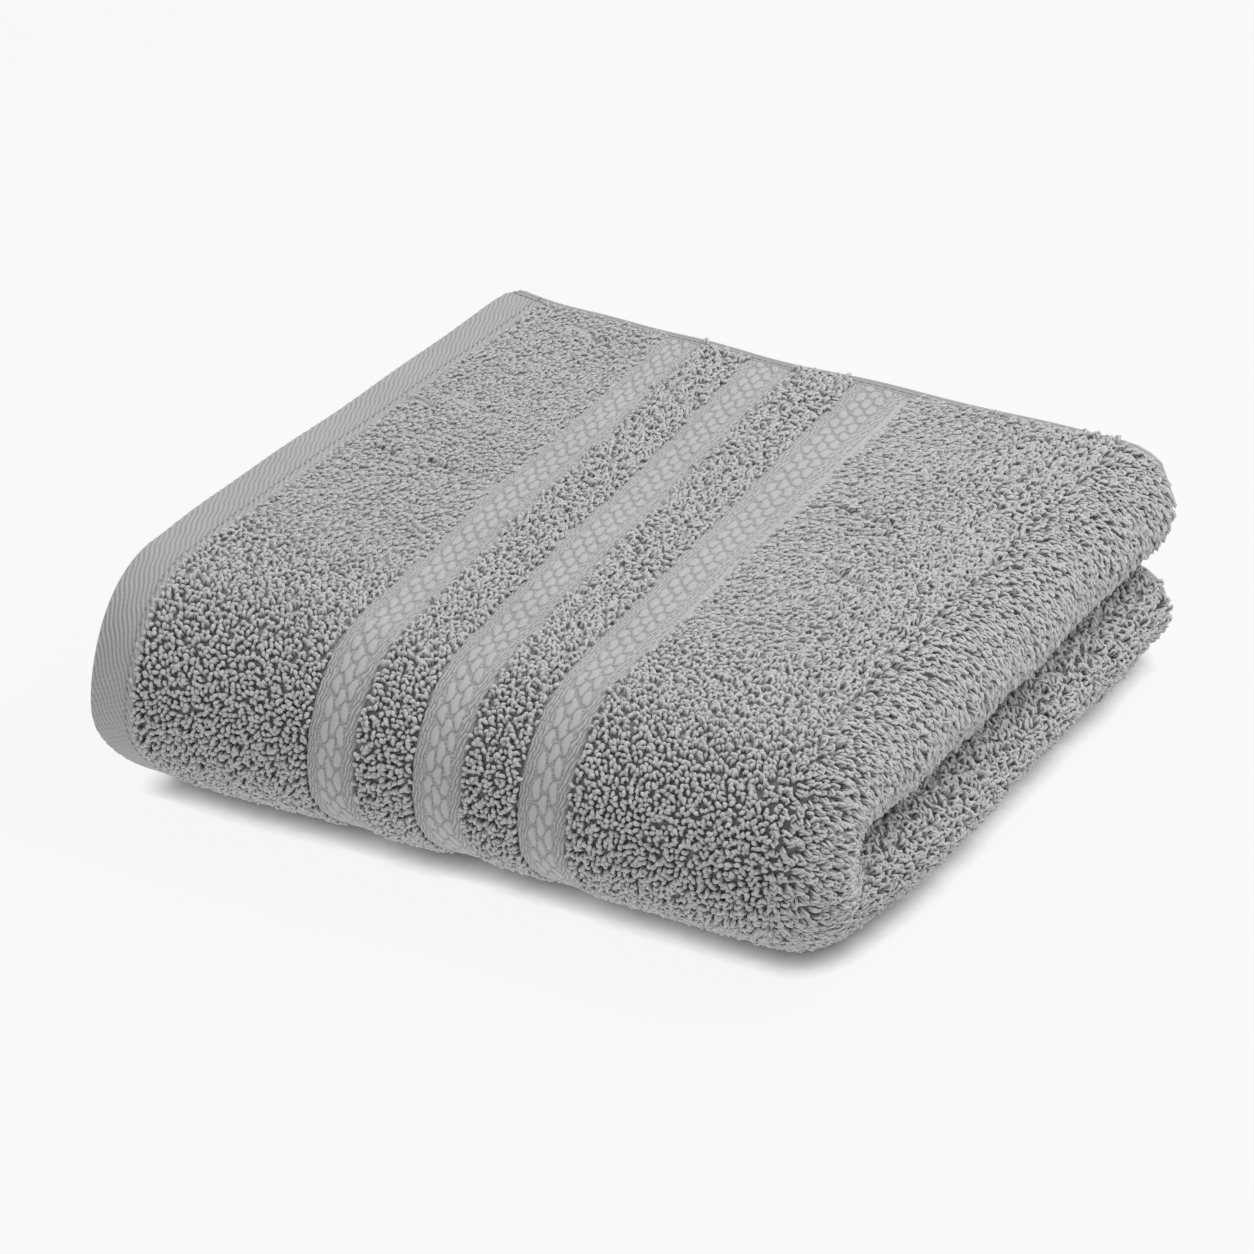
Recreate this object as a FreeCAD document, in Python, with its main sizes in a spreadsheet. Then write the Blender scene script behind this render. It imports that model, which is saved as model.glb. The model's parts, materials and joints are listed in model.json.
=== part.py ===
import FreeCAD, Part
import math
import os
import Sketcher

# A terry bath towel, folded for the shelf.
#
# The towel is one woven cloth, 1400 mm long and 700 mm wide. It is folded into
# quarters along its length, so that four leaves lie on each other, and then once
# across its width, like a book. The round spine of that book is the front edge.
#
# Frame: +X runs along the spine, from the hems to the two round folds.
#        +Y runs from the spine to the back edge.
#        +Z is up, and the towel lies on Z = 0.
#        The origin is the middle of the bounding box's bottom face.
#
# Every cloth zone is drawn once, as a profile in the X-radius plane, where the
# radius is the distance from the crease, the line inside the spine that the book
# fold turns about. The profile is padded back for the upper half, revolved by
# half a turn for the spine, and padded back again, upside down, for the lower
# half.
#
# Layers are numbered outwards from the crease: 0.5, 1.5, 2.5 and 3.5 pitches are
# the radii of the four leaves' middles. Leaf 4 (outermost) carries hem B and three
# flat-woven bands, leaf 3 carries hem A, and leaves 2 and 1 are plain terry.

DIMENSIONS = (
    # alias, millimetres, what it is
    ("package_length", 350.0, "along the spine, hem edge to round fold"),
    ("leaf_depth", 295.0, "from the crease to the back edge"),
    ("layer_pitch", 13.25, "one leaf of terry, loops included, and its gap"),
    ("layer_gap", 0.3, "air between leaves"),
    ("seam_gap", 0.3, "air between the spine and the two halves"),
    ("hem_width", 22.0, "flat hem at each short end of the cloth"),
    ("hem_thickness", 5.0, "three turns of flat cloth"),
    ("hem_inset", 4.0, "hem A lies this far inside hem B"),
    ("loop_inset", 7.0, "the left fold lies this far inside hem B"),
    ("border_offset", 107.0, "hem edge to the first woven band"),
    ("band_width", 23.5, "each flat-woven band"),
    ("band_thickness", 8.0, "flat-woven band, lower than the loops"),
    ("strip_width", 27.0, "terry between two bands"),
    ("side_hem_width", 8.0, "narrow hem along each long side"),
    ("side_hem_thickness", 4.0, "two turns of flat cloth"),
    ("stitch_inset", 3.0, "hem seam, from the hem's inner edge"),
    ("stitch_width", 1.2, "seam thread, across"),
    ("stitch_height", 0.5, "seam thread, above the hem"),
    ("stitch_gap", 0.05, "seam thread, clear of the hem"),
)

doc = FreeCAD.newDocument("folded_towel")
sheet = doc.addObject("Spreadsheet::Sheet", "Size")
for row, (alias, value, note) in enumerate(DIMENSIONS, start=1):
    sheet.set("A%d" % row, note)
    sheet.set("B%d" % row, str(value))
    sheet.setAlias("B%d" % row, alias)
doc.recompute()

# Lengths that follow from the sheet, as expressions of its cells.
THICKNESS = "(Size.layer_pitch - Size.layer_gap)"
CREASE_HEIGHT = "(4 * Size.layer_pitch - Size.layer_gap / 2)"
CREASE_Y = "((%s - Size.leaf_depth) / 2)" % CREASE_HEIGHT
LEFT_END = "(-Size.package_length / 2)"
FOLD_X = "(Size.package_length - 2 * Size.layer_pitch + Size.layer_gap / 2)"
# The middle fold's centre: its cloth reaches to loop_inset from the hem B edge.
LOOP_X = "(Size.loop_inset + Size.layer_pitch - Size.layer_gap / 2)"
BORDER_WIDTH = "(3 * Size.band_width + 2 * Size.strip_width)"
BAND_STEP = "(Size.band_width + Size.strip_width)"

UPPER = "upper"
SPINE = "spine"
LOWER = "lower"

built = []


def origin_plane(body, role):
    """The body's own origin plane with this role, such as XZ_Plane."""
    for feature in body.Origin.OriginFeatures:
        if feature.Role == role:
            return feature
    raise ValueError("no plane " + role)


def new_sketch(body, name, shift_x):
    """An empty sketch on the body's XZ plane: X is along the spine, Y is the radius."""
    sketch = body.newObject("Sketcher::SketchObject", name)
    sketch.AttachmentSupport = [(origin_plane(body, "XZ_Plane"), "")]
    sketch.MapMode = "FlatFace"
    sketch.setExpression("AttachmentOffset.Base.x", shift_x)
    return sketch


def drawn_size(sketch, kind, places):
    """The size that a constraint of this kind has in the sketch as drawn so far."""
    if kind == "Radius":
        return sketch.Geometry[places[0]].Radius
    step = sketch.getPoint(*places[2:]) - sketch.getPoint(*places[:2])
    return step.x if kind == "DistanceX" else step.y


def bind(sketch, kind, places, name, expression):
    """A named size in the sketch, driven by an expression."""
    size = drawn_size(sketch, kind, places)
    number = sketch.addConstraint(Sketcher.Constraint(kind, *places, size))
    sketch.renameConstraint(number, name)
    sketch.setExpression("Constraints." + name, expression)


def line(sketch, start, end):
    """A straight edge between two (x, y) points, and its number."""
    edge = Part.LineSegment(FreeCAD.Vector(*start, 0), FreeCAD.Vector(*end, 0))
    return sketch.addGeometry(edge)


def arc(sketch, centre_height, radius, start_deg, end_deg):
    """An arc centred on the sketch's vertical axis, and its number."""
    circle = Part.Circle(FreeCAD.Vector(0, centre_height, 0), FreeCAD.Vector(0, 0, 1), radius)
    edge = Part.ArcOfCircle(circle, math.radians(start_deg), math.radians(end_deg))
    return sketch.addGeometry(edge)


def join(sketch, first, first_end, second, second_end):
    """Makes two edges share an end point."""
    sketch.addConstraint(Sketcher.Constraint("Coincident", first, first_end, second, second_end))


def leaf_profile(sketch, width, middle, thickness):
    """A flat leaf: a rectangle from the vertical axis, its middle line at the given radius."""
    bottom = line(sketch, (0, 1), (2, 1))
    right = line(sketch, (2, 1), (2, 2))
    top = line(sketch, (2, 2), (0, 2))
    left = line(sketch, (0, 2), (0, 1))
    edges = (bottom, right, top, left)
    for number, edge in enumerate(edges):
        join(sketch, edge, 2, edges[(number + 1) % 4], 1)
    for edge in (bottom, top):
        sketch.addConstraint(Sketcher.Constraint("Horizontal", edge))
    sketch.addConstraint(Sketcher.Constraint("Vertical", right))
    sketch.addConstraint(Sketcher.Constraint("PointOnObject", bottom, 1, -2))
    sketch.addConstraint(Sketcher.Constraint("PointOnObject", top, 2, -2))
    bind(sketch, "DistanceX", (bottom, 1, bottom, 2), "width", width)
    bind(sketch, "DistanceY", (right, 1, right, 2), "thickness", thickness)
    bind(sketch, "DistanceY", (-1, 1, bottom, 1), "radius", "%s - %s / 2" % (middle, thickness))


def fold_profile(sketch, centre, bend, thickness):
    """A half ring to the right of the vertical axis: the cloth going round a fold.

    centre is the fold's middle, bend the radius of the cloth's middle line about it.
    """
    outer = arc(sketch, 5, 2, -90, 90)
    inner = arc(sketch, 5, 1, -90, 90)
    top = line(sketch, (0, 6), (0, 7))
    bottom = line(sketch, (0, 3), (0, 4))
    join(sketch, outer, 3, inner, 3)
    sketch.addConstraint(Sketcher.Constraint("PointOnObject", outer, 3, -2))
    join(sketch, top, 1, inner, 2)
    join(sketch, top, 2, outer, 2)
    join(sketch, bottom, 1, outer, 1)
    join(sketch, bottom, 2, inner, 1)
    sketch.addConstraint(Sketcher.Constraint("Vertical", top))
    sketch.addConstraint(Sketcher.Constraint("Vertical", bottom))
    sketch.addConstraint(Sketcher.Constraint("PointOnObject", outer, 2, -2))
    sketch.addConstraint(Sketcher.Constraint("PointOnObject", outer, 1, -2))
    bind(sketch, "DistanceY", (-1, 1, outer, 3), "centre", centre)
    bind(sketch, "Radius", (outer,), "outer_radius", "%s + %s / 2" % (bend, thickness))
    bind(sketch, "Radius", (inner,), "inner_radius", "%s - %s / 2" % (bend, thickness))


def loop_profile(sketch, reach, centre, bend, thickness):
    """Two leaves joined by a half ring on their left: the cloth's middle fold."""
    outer = arc(sketch, 13, 12, 90, 270)
    inner = arc(sketch, 13, 1, 90, 270)
    outer_bottom = line(sketch, (0, 1), (300, 1))
    end_bottom = line(sketch, (300, 1), (300, 12))
    inner_bottom = line(sketch, (300, 12), (0, 12))
    inner_top = line(sketch, (0, 14), (300, 14))
    end_top = line(sketch, (300, 14), (300, 25))
    outer_top = line(sketch, (300, 25), (0, 25))
    join(sketch, outer, 3, inner, 3)
    sketch.addConstraint(Sketcher.Constraint("PointOnObject", outer, 3, -2))
    join(sketch, outer, 2, outer_bottom, 1)
    join(sketch, outer_bottom, 2, end_bottom, 1)
    join(sketch, end_bottom, 2, inner_bottom, 1)
    join(sketch, inner_bottom, 2, inner, 2)
    join(sketch, inner, 1, inner_top, 1)
    join(sketch, inner_top, 2, end_top, 1)
    join(sketch, end_top, 2, outer_top, 1)
    join(sketch, outer_top, 2, outer, 1)
    for edge in (outer_bottom, inner_bottom, inner_top, outer_top):
        sketch.addConstraint(Sketcher.Constraint("Horizontal", edge))
    for edge in (end_bottom, end_top):
        sketch.addConstraint(Sketcher.Constraint("Vertical", edge))
    for edge in (outer, inner):
        for end in (1, 2):
            sketch.addConstraint(Sketcher.Constraint("PointOnObject", edge, end, -2))
    bind(sketch, "DistanceY", (-1, 1, outer, 3), "centre", centre)
    bind(sketch, "Radius", (outer,), "outer_radius", "%s + %s / 2" % (bend, thickness))
    bind(sketch, "Radius", (inner,), "inner_radius", "%s - %s / 2" % (bend, thickness))
    bind(sketch, "DistanceX", (outer_bottom, 1, outer_bottom, 2), "lower_reach", reach)
    bind(sketch, "DistanceX", (inner_top, 1, inner_top, 2), "upper_reach", reach)


def new_body(label, start_x, start_y, half):
    """A body whose own X axis is the crease, starting at start_x from the hem B edge.

    The lower half's bodies are turned over about the crease.
    """
    body = doc.addObject("PartDesign::Body", label)
    body.Label = label
    turned = 180 if half == LOWER else 0
    body.Placement = FreeCAD.Placement(
        FreeCAD.Vector(0, 0, 0), FreeCAD.Rotation(FreeCAD.Vector(1, 0, 0), turned)
    )
    body.setExpression("Placement.Base.x", "%s + %s" % (LEFT_END, start_x))
    body.setExpression("Placement.Base.y", "%s + %s" % (CREASE_Y, start_y))
    body.setExpression("Placement.Base.z", CREASE_HEIGHT)
    built.append(body)
    return body


def add_pad(body, draw, sizes, length, half, shift_x="0"):
    """Draws a profile, shift_x along from the body's start, and pads it away from the spine."""
    sketch = new_sketch(body, body.Label + "_profile", shift_x)
    draw(sketch, *sizes)
    pad = body.newObject("PartDesign::Pad", body.Label + "_pad")
    pad.Profile = sketch
    pad.Reversed = half == UPPER
    pad.setExpression("Length", length)
    sketch.Visibility = False
    return pad


def add_half_turn(body, draw, sizes):
    """Draws a profile and revolves it by half a turn about the crease, round the front."""
    sketch = new_sketch(body, body.Label + "_profile", "0")
    draw(sketch, *sizes)
    turn = body.newObject("PartDesign::Revolution", body.Label + "_turn")
    turn.Profile = sketch
    turn.ReferenceAxis = (sketch, ["H_Axis"])
    turn.Angle = 180
    turn.Reversed = False
    sketch.Visibility = False
    return turn


def cloth_zone(name, start_x, draw, sizes):
    """One zone of the cloth in all three places: upper half, spine and lower half."""
    leaf_length = "Size.leaf_depth - Size.side_hem_width - Size.seam_gap"
    for half in (UPPER, LOWER):
        body = new_body("%s_%s" % (name, half), start_x, "Size.seam_gap", half)
        add_pad(body, draw, sizes, leaf_length, half)
    body = new_body("%s_%s" % (name, SPINE), start_x, "0", SPINE)
    add_half_turn(body, draw, sizes)


def radius_of_leaf(number):
    """The middle radius of leaf 1 (next to the crease) to leaf 4 (outside)."""
    return "(%.1f * Size.layer_pitch)" % (number - 0.5)


def hem_seam(name, start_x, leaf):
    """The row of thread that closes a hem, lying on the hem's outer face."""
    seam_x = "%s + Size.hem_width - Size.stitch_inset" % start_x
    face = "%s + Size.hem_thickness / 2" % radius_of_leaf(leaf)
    middle = "(%s + Size.stitch_gap + Size.stitch_height / 2)" % face
    cloth_zone(name, seam_x, leaf_profile, ("Size.stitch_width", middle, "Size.stitch_height"))


def side_hem(half):
    """The narrow hem of one long side: one strip that follows all four leaves and the folds."""
    thickness = "Size.side_hem_thickness"
    lobe = "2 * Size.layer_pitch"
    wide_bend = "(1.5 * Size.layer_pitch)"
    tight_bend = "(0.5 * Size.layer_pitch)"
    stretches = (
        # where each starts, its profile and its sizes, in order along the cloth
        ("0", leaf_profile, (FOLD_X, radius_of_leaf(4), thickness)),
        (FOLD_X, fold_profile, (lobe, wide_bend, thickness)),
        (LOOP_X, loop_profile,
         ("%s - %s" % (FOLD_X, LOOP_X), "Size.layer_pitch", tight_bend, thickness)),
        (FOLD_X, fold_profile, (lobe, tight_bend, thickness)),
        ("Size.hem_inset", leaf_profile,
         ("%s - Size.hem_inset" % FOLD_X, radius_of_leaf(3), thickness)),
    )
    body = new_body("side_hem_" + half, "0", "Size.leaf_depth - Size.side_hem_width", half)
    for start_x, draw, sizes in stretches:
        add_pad(body, draw, sizes, "Size.side_hem_width", half, start_x)


# Leaf 4, from the hem B edge to the outer round fold.
cloth_zone("hem_b", "0", leaf_profile, ("Size.hem_width", radius_of_leaf(4), "Size.hem_thickness"))
cloth_zone("terry_b1", "Size.hem_width", leaf_profile,
           ("Size.border_offset - Size.hem_width", radius_of_leaf(4), THICKNESS))
for band in range(3):
    band_x = "(Size.border_offset + %d * %s)" % (band, BAND_STEP)
    cloth_zone("band_b%d" % (band + 1), band_x, leaf_profile,
               ("Size.band_width", radius_of_leaf(4), "Size.band_thickness"))
for strip in range(2):
    strip_x = "(Size.border_offset + %d * %s + Size.band_width)" % (strip, BAND_STEP)
    cloth_zone("terry_b%d" % (strip + 2), strip_x, leaf_profile,
               ("Size.strip_width", radius_of_leaf(4), THICKNESS))
FIELD_X = "(Size.border_offset + %s)" % BORDER_WIDTH
cloth_zone("field_b", FIELD_X, leaf_profile,
           ("%s - %s" % (FOLD_X, FIELD_X), radius_of_leaf(4), THICKNESS))

# The two round folds, one inside the other.
cloth_zone("outer_fold", FOLD_X, fold_profile,
           ("2 * Size.layer_pitch", "(1.5 * Size.layer_pitch)", THICKNESS))
cloth_zone("inner_fold", FOLD_X, fold_profile,
           ("2 * Size.layer_pitch", "(0.5 * Size.layer_pitch)", THICKNESS))

# Leaves 1 and 2 and the fold at the middle of the cloth, one loop.
cloth_zone("middle_loop", LOOP_X, loop_profile,
           ("%s - %s" % (FOLD_X, LOOP_X), "Size.layer_pitch",
            "(0.5 * Size.layer_pitch)", THICKNESS))

# Leaf 3, from the hem A edge to the inner round fold.
cloth_zone("hem_a", "Size.hem_inset", leaf_profile,
           ("Size.hem_width", radius_of_leaf(3), "Size.hem_thickness"))
cloth_zone("terry_a", "(Size.hem_inset + Size.hem_width)", leaf_profile,
           ("Size.border_offset - Size.hem_width", radius_of_leaf(3), THICKNESS))
cloth_zone("border_a", "(Size.hem_inset + Size.border_offset)", leaf_profile,
           (BORDER_WIDTH, radius_of_leaf(3), "Size.band_thickness"))
cloth_zone("field_a", "(Size.hem_inset + %s)" % FIELD_X, leaf_profile,
           ("%s - %s - Size.hem_inset" % (FOLD_X, FIELD_X), radius_of_leaf(3), THICKNESS))

hem_seam("seam_b", "0", 4)
hem_seam("seam_a", "Size.hem_inset", 3)
for half in (UPPER, LOWER):
    side_hem(half)

doc.recompute()

for item in doc.Objects:
    for problem in ("Invalid", "Error"):
        if problem in item.State:
            raise RuntimeError("%s is in state %s" % (item.Label, problem))
for body in built:
    if body.Shape.isNull() or not body.Shape.isValid():
        raise RuntimeError("%s has no valid shape" % body.Label)

os.makedirs("parts", exist_ok=True)
for body in built:
    body.Shape.exportStep("parts/%s.step" % body.Label)

extent = Part.makeCompound([body.Shape for body in built]).optimalBoundingBox(False)
print("nodes", len(built))
print("box", [round(value, 2) for value in (
    extent.XMin, extent.XMax, extent.YMin, extent.YMax, extent.ZMin, extent.ZMax)])
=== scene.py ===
"""A folded terry bath towel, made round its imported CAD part.

The towel is one woven cloth. Every point of it is given by four numbers:
    x    along the spine, from the hems on the left to the round folds on the right
    h    distance from the crease, the line that the book fold turns about
    y    how far back it lies, which is the crease's own y all the way round the spine
    turn angle round the spine: 0 on the upper half, pi on the lower half
so that its place is (x, y - h sin(turn), crease height + h cos(turn)).
Seen along the spine, the cloth is a spiral of four leaves: leaf 4 is outside, leaf 1 is next to
the crease.
"""
import json
import math

import bpy
import numpy as np
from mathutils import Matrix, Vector


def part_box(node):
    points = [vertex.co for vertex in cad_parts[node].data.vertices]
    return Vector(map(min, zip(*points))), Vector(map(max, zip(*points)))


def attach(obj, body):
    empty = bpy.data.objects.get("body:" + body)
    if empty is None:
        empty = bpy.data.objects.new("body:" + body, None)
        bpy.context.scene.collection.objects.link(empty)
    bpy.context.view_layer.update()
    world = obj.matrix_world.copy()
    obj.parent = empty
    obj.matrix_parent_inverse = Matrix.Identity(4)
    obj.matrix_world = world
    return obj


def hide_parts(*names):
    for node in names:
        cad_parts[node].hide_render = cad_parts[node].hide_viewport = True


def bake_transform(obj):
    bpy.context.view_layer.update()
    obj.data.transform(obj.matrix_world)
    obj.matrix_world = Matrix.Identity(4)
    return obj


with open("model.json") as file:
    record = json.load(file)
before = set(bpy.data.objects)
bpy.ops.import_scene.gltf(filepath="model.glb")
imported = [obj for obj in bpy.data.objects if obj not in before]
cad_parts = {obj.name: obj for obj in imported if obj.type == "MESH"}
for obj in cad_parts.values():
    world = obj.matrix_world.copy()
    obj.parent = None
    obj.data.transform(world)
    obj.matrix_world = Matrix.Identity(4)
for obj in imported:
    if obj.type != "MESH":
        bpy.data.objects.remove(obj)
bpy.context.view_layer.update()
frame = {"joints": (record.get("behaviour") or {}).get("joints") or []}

MM = 0.001
UPPER = "upper_half"
LOWER = "lower_half"

# ---------------------------------------------------------------- sizes, from the frame

_, CREASE_Y, CREASE_Z = frame["joints"][0]["pos_m"]
LEAF_LOW, LEAF_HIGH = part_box("field_b_upper")
PITCH = ((LEAF_LOW.z + LEAF_HIGH.z) / 2 - CREASE_Z) / 3.5
FOLD_X = LEAF_HIGH.x
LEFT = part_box("hem_b_upper")[0].x
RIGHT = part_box("outer_fold_upper")[1].x
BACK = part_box("side_hem_upper")[1].y
PILE_BACK = LEAF_HIGH.y
DEPTH = BACK - CREASE_Y
HEM_B = (LEFT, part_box("hem_b_upper")[1].x)
HEM_A = (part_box("hem_a_upper")[0].x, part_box("hem_a_upper")[1].x)
BANDS_B = [(low.x, high.x) for low, high in (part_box("band_b%d_upper" % n) for n in (1, 2, 3))]
HEM_SHIFT = HEM_A[0] - HEM_B[0]
BANDS_A = [(low + HEM_SHIFT, high + HEM_SHIFT) for low, high in BANDS_B]
LOOP_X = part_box("middle_loop_upper")[0].x + PITCH

CLOTH = 6.4 * MM          # the woven ground and the dense feet of its loops, on both faces


def leaf_height(number):
    """The middle of leaf 1 (next to the crease) to leaf 4 (outside)."""
    return (number - 0.5) * PITCH


# ---------------------------------------------------------------- the cloth's shape

def smooth(start, end, value):
    """0 before start, 1 after end, and an even S between them."""
    t = np.clip((value - start) / (end - start), 0, 1)
    return t * t * (3 - 2 * t)


def swell(u, v, seed):
    """Slow, uneven rises and hollows, between about -1 and 1: five crossing sine waves."""
    draw = np.random.default_rng(seed)
    total = np.zeros(np.broadcast(u, v).shape)
    for number in range(5):
        angle, phase = draw.uniform(0, 2 * math.pi, 2)
        length = draw.uniform(45, 150) * MM
        wave = (u * math.cos(angle) + v * math.sin(angle)) * 2 * math.pi / length
        total += np.sin(wave + phase) / 3
    return total


def crease_depth(x, y):
    """Short creases pressed into the top's pile: a narrow groove along each of a few lines.

    Each line has, in millimetres, its start from the hem edge, its distance from the spine, its
    length, and how far it slants away from the spine over that length.
    """
    depth = np.zeros(x.shape)
    creases = ((30, 124, 69, 1), (17, 171, 26, 2), (40, 182, 38, 0),
               (49, 275, 41, -6), (246, 168, 34, 6), (262, 118, 30, -4))
    for start, from_spine, length, slant in creases:
        along = (x - LEFT) / MM - start
        away = (y - CREASE_Y) / MM - from_spine - slant * along / length - 1.4 * np.sin(along / 5)
        ends = smooth(0, 8, along) * smooth(length, length - 12, along)
        depth += ends * np.exp(-((away / 1.3) ** 2))
    return depth


def settle(points):
    """The folded cloth as it lies: where a flat, square point of it really is.

    The top leaf is drawn a little askew, its bands to the left at the back and its hem to the
    right. The hem's lower front corner is pulled in. The top dips towards the spine. The whole
    surface has slow rises and hollows. The foot of the towel is tucked in at the front and the
    right, and the pile that would reach below the floor is pressed flat on it.
    """
    x, y, z = points[..., 0], points[..., 1], points[..., 2]
    along = (x - LEFT) / (RIGHT - LEFT)
    back = np.clip((y - CREASE_Y) / DEPTH, 0, 1.1)
    rise = (z - CREASE_Z) / CREASE_Z
    top = smooth(0.2, 0.85, rise)
    low = smooth(0.0, 0.95, -rise)
    left_end = np.exp(-(((x - LEFT) / (45 * MM)) ** 2))
    skew = 0.044 * np.exp(-((along / 0.14) ** 2)) - 0.066 * np.exp(-(((along - 0.48) / 0.24) ** 2))
    moved = np.array(points, float)
    moved[..., 0] += back * DEPTH * skew * top
    moved[..., 0] += 11 * MM * left_end * low * (1 - back)
    foot = smooth(0.15, 1.0, -rise)
    moved[..., 0] -= 9 * MM * np.exp(-(((x - RIGHT) / (60 * MM)) ** 2)) * foot
    moved[..., 1] += 9 * MM * np.exp(-(np.maximum(y - CREASE_Y, 0) / (40 * MM)) ** 2) * foot
    lobe = np.exp(-(((np.abs(rise) - 0.5) / 0.55) ** 2)) * smooth(0, 50 * MM, y - CREASE_Y)
    moved[..., 0] += (3.6 + 2.6 * smooth(0.1, -0.1, rise)) * MM * lobe * smooth(0.86, 1.0, along)
    moved[..., 0] += 1.6 * MM * swell(y, z, 5) * smooth(0.9, 1.0, along)
    moved[..., 1] += 1.8 * MM * swell(x, z, 6) * smooth(0.0, -20 * MM, y - CREASE_Y)
    moved[..., 2] += 1.3 * MM * swell(x, y, 7) * (1 - low) * smooth(-0.4, 0.9, rise)
    moved[..., 2] -= 3.0 * MM * np.exp(-((np.maximum(y - CREASE_Y, 0) / (28 * MM)) ** 2)) * top
    moved[..., 2] += (3.2 + 3.8 * np.exp(-((along / 0.16) ** 2))) * MM * top
    moved[..., 2] -= 3.8 * MM * crease_depth(x, y) * top
    corner = np.exp(-np.maximum(BACK - y, 0) / (6 * MM)) * np.exp(-(x - LEFT) / (9 * MM)) * top
    moved[..., 0] += 7 * MM * corner
    sunk = moved[..., 2]
    moved[..., 2] = (sunk + np.sqrt(sunk ** 2 + (1.6 * MM) ** 2)) / 2
    return moved


def place(x, h, y, turn):
    """Points of the cloth from its four numbers, before it settles."""
    x, h, y, turn = np.broadcast_arrays(x, h, y, turn)
    return np.stack([x, y - h * np.sin(turn), CREASE_Z + h * np.cos(turn)], -1)


def directions(normal_x, normal_h, turn):
    """The cloth's outward normal, its direction along the profile and its direction across."""
    normal_x, normal_h, turn = np.broadcast_arrays(normal_x, normal_h, turn)
    zero = np.zeros(turn.shape)
    radial = np.stack([zero, -np.sin(turn), np.cos(turn)], -1)
    across = np.stack([zero, -np.cos(turn), -np.sin(turn)], -1)
    spine = np.stack([zero + 1, zero, zero], -1)
    normal = spine * normal_x[..., None] + radial * normal_h[..., None]
    along = spine * normal_h[..., None] - radial * normal_x[..., None]
    return normal, along, across


def across_line(flat_step, arc_steps, back=None):
    """y and turn from the upper back edge, round the spine, to the lower back edge."""
    back = BACK if back is None else back
    count = max(2, int(round((back - CREASE_Y) / flat_step)))
    flat = np.linspace(back, CREASE_Y, count + 1)
    arc = np.linspace(0, math.pi, arc_steps + 1)[1:-1]
    y = np.concatenate([flat, np.full(arc.size, CREASE_Y), flat[::-1]])
    turn = np.concatenate([np.zeros(flat.size), arc, np.full(flat.size, math.pi)])
    return y, turn


def bed(turn):
    """How far the mat of loop feet stands off the cloth's middle: less where the spine opens it."""
    return CLOTH / 2 - 1.9 * MM * np.sin(turn)


def spiral(step, bend_steps, short=0.0):
    """x, h and the outward normal along the cloth's length, from hem B to hem A.

    Both ends stop short by that much. Leaf 4 runs right, the outer fold turns down to leaf 1,
    which runs left, the middle fold turns up to leaf 2, which runs right, and the inner fold
    turns up to leaf 3, which runs left.
    """
    def run(start, end, height, side):
        count = max(2, int(round(abs(end - start) / step)))
        x = np.linspace(start, end, count + 1)[:-1]
        return x, np.full(x.size, height), np.zeros(x.size), np.full(x.size, side)

    def bend(centre_x, centre_h, radius, start, end, side):
        angle = np.linspace(start, end, bend_steps + 1)[:-1]
        return (centre_x + radius * np.cos(angle), centre_h + radius * np.sin(angle),
                side * np.cos(angle), side * np.sin(angle))

    half = math.pi / 2
    runs = [
        run(LEFT + short, FOLD_X, leaf_height(4), 1),
        bend(FOLD_X, 2 * PITCH, 1.5 * PITCH, half, -half, 1),
        run(FOLD_X, LOOP_X, leaf_height(1), -1),
        bend(LOOP_X, PITCH, 0.5 * PITCH, -half, -3 * half, -1),
        run(LOOP_X, FOLD_X, leaf_height(2), 1),
        bend(FOLD_X, 2 * PITCH, 0.5 * PITCH, -half, half, -1),
        run(FOLD_X, HEM_A[0] + short, leaf_height(3), -1),
        (np.array([HEM_A[0] + short]), np.array([leaf_height(3)]), np.array([0.0]),
         np.array([-1.0])),
    ]
    return [np.concatenate(part) for part in zip(*runs)]


# ---------------------------------------------------------------- meshes

def grid_quads(rows, columns):
    """The four corners of each cell of a grid of points, numbered row by row."""
    row, column = np.meshgrid(np.arange(rows - 1), np.arange(columns - 1), indexing="ij")
    first = (row * columns + column).ravel()
    return np.stack([first, first + 1, first + columns + 1, first + columns], -1)


def slab_quads(rows, columns):
    """A closed slab's faces: an outer grid, an inner grid after it, and a rim between them."""
    outer = grid_quads(rows, columns)
    count = rows * columns
    edge = np.concatenate([
        np.arange(columns - 1),
        np.arange(rows - 1) * columns + columns - 1,
        np.arange(columns - 1, 0, -1) + (rows - 1) * columns,
        np.arange(rows - 1, 0, -1) * columns,
    ])
    following = np.roll(edge, -1)
    rim = np.stack([following, edge, edge + count, following + count], -1)
    return [np.concatenate([outer, outer[:, ::-1] + count, rim])]


def ring_faces(rings, sides):
    """A closed tube's faces: walls between neighbouring rings of points, and a cap on each end."""
    ring, side = np.meshgrid(np.arange(rings - 1), np.arange(sides), indexing="ij")
    here = (ring * sides + side).ravel()
    beside = (ring * sides + (side + 1) % sides).ravel()
    walls = np.stack([here, beside, beside + sides, here + sides], -1)
    first = np.arange(sides)[::-1]
    return [walls, np.stack([first, np.arange(sides) + (rings - 1) * sides])]


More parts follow.
